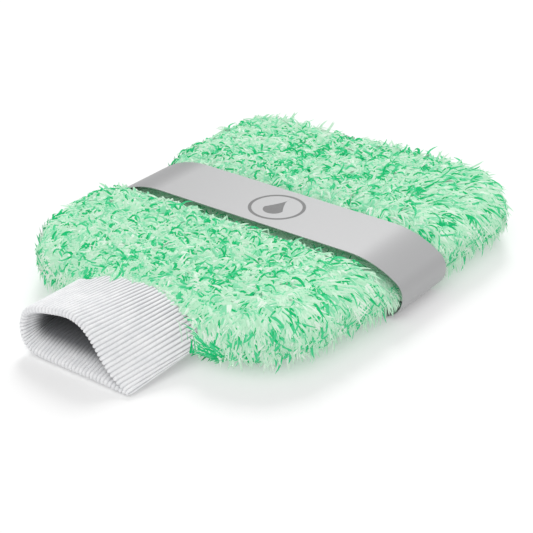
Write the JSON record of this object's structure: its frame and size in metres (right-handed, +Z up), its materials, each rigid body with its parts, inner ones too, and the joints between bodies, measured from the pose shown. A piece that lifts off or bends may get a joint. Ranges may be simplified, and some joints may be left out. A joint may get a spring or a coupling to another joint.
{
  "type": "wash mitt",
  "caption": "Long-pile car wash mitt lying flat, with a ribbed knit cuff open at one end and a card sales band round its middle.",
  "frame": {"origin": "on the table, under the middle of the bounding box, the mitt lying flat", "axes": "+Y from the cuff towards the fingertips, +X across the palm to the right when looking from the cuff, +Z up"},
  "size_m": [0.196, 0.277, 0.0312],
  "materials": {
    "plush": "long two-tone mint and green microfibre pile",
    "sponge": "fine open-cell sponge",
    "lining": "plain light grey woven lining",
    "rib_knit": "white rib knit, folded double",
    "thread": "spun polyester thread",
    "card": "silver-grey satin card with a dark printed mark",
    "glue": "dried hot-melt glue"
  },
  "bodies": {
    "mitt": {"plush_panel_top": "plush", "plush_panel_bottom": "plush", "sponge_pad_top": "sponge", "sponge_pad_bottom": "sponge", "lining_top": "lining", "lining_bottom": "lining", "rib_cuff": "rib_knit", "body_seam": "thread", "lining_seam": "thread", "cuff_seam": "thread"},
    "band": {"paper_band": "card", "band_glue_strip": "glue"}
  },
  "joints": [
    {"name": "band_slide", "type": "slide", "parent": "mitt", "child": "band", "axis": [0, 1, 0], "range_m": [0, 0.15]}
  ]
}
